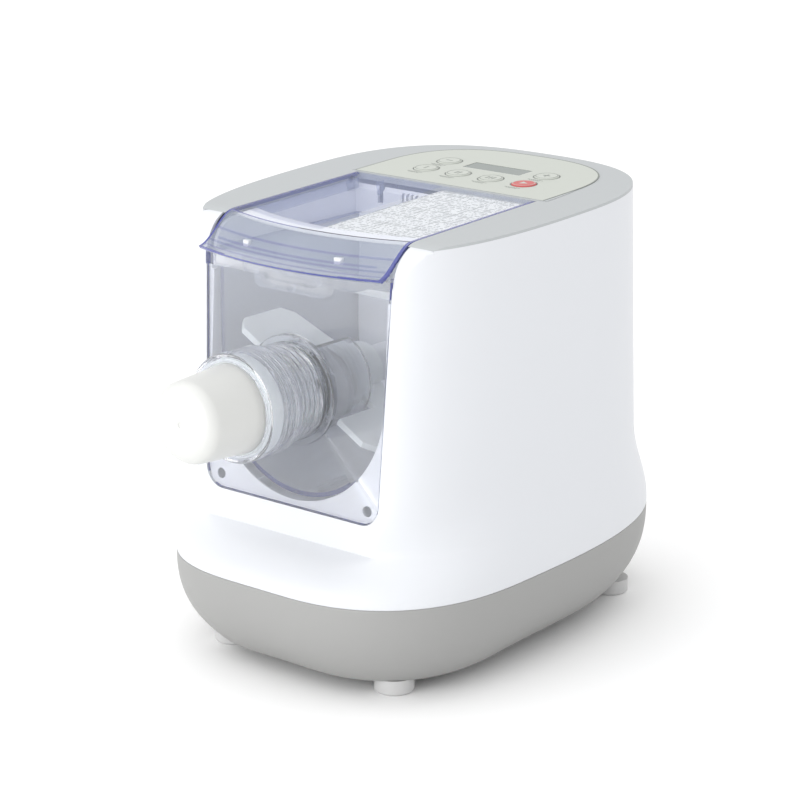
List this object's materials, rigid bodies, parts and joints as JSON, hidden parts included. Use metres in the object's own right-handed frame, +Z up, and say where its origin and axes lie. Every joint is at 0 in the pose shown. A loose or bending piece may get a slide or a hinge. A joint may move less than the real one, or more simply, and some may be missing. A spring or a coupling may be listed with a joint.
{
  "type": "electric pasta maker",
  "caption": "Countertop electric pasta maker: white shell on a grey base, clear mixing bowl and hinged lid, front extrusion barrel with locking nut, die and cap.",
  "frame": {"origin": "middle of the bounding box at table level", "axes": "+Z up, -Y towards the outlet at the front, +X to the right of someone looking along +Y"},
  "size_m": [0.2262, 0.379, 0.2778],
  "materials": {
    "white_shell": "cool white satin-gloss moulded shell",
    "grey_base": "mid grey fine-textured moulding",
    "white_liner": "white moulded trough",
    "grey_cover": "light warm grey fine-textured moulding",
    "panel": "pale green-grey overlay",
    "display": "grey-green display window",
    "button_key": "pale grey key",
    "red_key": "soft red key",
    "clear_plastic": "clear blue-tinted moulding",
    "label": "white printed card",
    "white_nylon": "translucent white nylon",
    "grey_nylon": "translucent grey nylon",
    "white_cap": "warm white moulding",
    "foot": "pale grey translucent rubber",
    "rubber": "black rubber",
    "steel": "zinc-plated steel",
    "cast_metal": "die-cast gearbox metal",
    "bronze": "sintered bronze",
    "electronics": "black moulding",
    "circuit_board": "green laminate"
  },
  "bodies": {
    "housing": {"body_shell": "white_shell", "base_tray": "grey_base", "base_screws": "steel", "bay_liner": "white_liner", "shaft_seal": "rubber", "top_cover": "grey_cover", "control_panel": "panel", "display_lens": "display", "display_module": "electronics", "control_board": "circuit_board", "tact_switches": "electronics", "lid_switch": "electronics", "gearbox_case": "cast_metal", "gearbox_plate": "steel", "gearbox_screws": "steel", "shaft_bearing": "bronze", "motor_can": "steel", "motor_cap": "electronics", "motor_magnets": "electronics", "motor_cradle": "electronics", "chassis_plate": "steel", "power_board": "circuit_board", "cord_gland": "rubber", "foot_front_left": "foot", "foot_front_right": "foot", "foot_rear_left": "foot", "foot_rear_right": "foot"},
    "lid": {"lid_cover": "clear_plastic", "lid_label": "label"},
    "bowl": {"mixing_bowl": "clear_plastic", "bowl_bush": "white_nylon"},
    "mixer": {"mixing_screw": "grey_nylon", "stirring_paddle": "white_nylon"},
    "front": {"front_plate": "clear_plastic"},
    "die": {"extrusion_die": "white_nylon"},
    "nut": {"locking_nut": "clear_plastic"},
    "cap": {"outlet_cap": "white_cap"},
    "drive_shaft": {"main_shaft": "steel", "output_gear": "white_nylon"},
    "idler": {"idler_gear": "white_nylon"},
    "rotor": {"motor_rotor": "steel", "motor_pinion": "bronze", "cooling_fan": "electronics"},
    "button_1": {"button_1": "button_key"},
    "button_2": {"button_2": "button_key"},
    "button_3": {"button_3": "button_key"},
    "button_start": {"button_start": "red_key"},
    "button_left": {"button_left": "button_key"},
    "button_right": {"button_right": "button_key"}
  },
  "joints": [
    {"name": "lid_hinge", "type": "hinge", "parent": "housing", "child": "lid", "pos_m": [0, 0.03982, 0.26955], "axis": [-1, 0, 0], "range_deg": [0, 92]},
    {"name": "bowl_slide", "type": "slide", "parent": "housing", "child": "bowl", "axis": [0, -1, 0], "range_m": [0, 0.145]},
    {"name": "front_slide", "type": "slide", "parent": "bowl", "child": "front", "axis": [0, -1, 0], "range_m": [0, 0.09]},
    {"name": "mixer_spin", "type": "hinge", "parent": "bowl", "child": "mixer", "pos_m": [0, 0, 0.1754], "axis": [0, 1, 0], "continuous": true},
    {"name": "die_slide", "type": "slide", "parent": "front", "child": "die", "axis": [0, -1, 0], "range_m": [0, 0.0161]},
    {"name": "nut_turn", "type": "hinge", "parent": "die", "child": "nut", "pos_m": [0, -0.136, 0.1754], "axis": [0, -1, 0], "range_deg": [0, 1440]},
    {"name": "cap_pull", "type": "slide", "parent": "die", "child": "cap", "axis": [0, -1, 0], "range_m": [0, 0.04]},
    {"name": "shaft_spin", "type": "hinge", "parent": "housing", "child": "drive_shaft", "pos_m": [0, 0.05, 0.1754], "axis": [0, 1, 0], "continuous": true},
    {"name": "idler_spin", "type": "hinge", "parent": "housing", "child": "idler", "pos_m": [0, 0.06, 0.1304], "axis": [0, 1, 0], "continuous": true},
    {"name": "rotor_spin", "type": "hinge", "parent": "housing", "child": "rotor", "pos_m": [0, 0.1, 0.0929], "axis": [0, 1, 0], "continuous": true},
    {"name": "button_1_press", "type": "slide", "parent": "housing", "child": "button_1", "axis": [0, 0.039, -0.9992], "range_m": [0, 0.0008], "stiffness_N_per_m": 1500, "springref_m": -0.0003},
    {"name": "button_2_press", "type": "slide", "parent": "housing", "child": "button_2", "axis": [0, 0.039, -0.9992], "range_m": [0, 0.0008], "stiffness_N_per_m": 1500, "springref_m": -0.0003},
    {"name": "button_3_press", "type": "slide", "parent": "housing", "child": "button_3", "axis": [0, 0.039, -0.9992], "range_m": [0, 0.0008], "stiffness_N_per_m": 1500, "springref_m": -0.0003},
    {"name": "button_start_press", "type": "slide", "parent": "housing", "child": "button_start", "axis": [0, 0.039, -0.9992], "range_m": [0, 0.0008], "stiffness_N_per_m": 1500, "springref_m": -0.0003},
    {"name": "button_left_press", "type": "slide", "parent": "housing", "child": "button_left", "axis": [0, 0.039, -0.9992], "range_m": [0, 0.0008], "stiffness_N_per_m": 1500, "springref_m": -0.0003},
    {"name": "button_right_press", "type": "slide", "parent": "housing", "child": "button_right", "axis": [0, 0.039, -0.9992], "range_m": [0, 0.0008], "stiffness_N_per_m": 1500, "springref_m": -0.0003}
  ],
  "couplings": [
    {"joint": "mixer_spin", "follows": "shaft_spin", "ratio": 1},
    {"joint": "idler_spin", "follows": "shaft_spin", "ratio": -4},
    {"joint": "rotor_spin", "follows": "shaft_spin", "ratio": 16},
    {"joint": "die_slide", "follows": "nut_turn", "m_per_rad": 0.00063662}
  ]
}
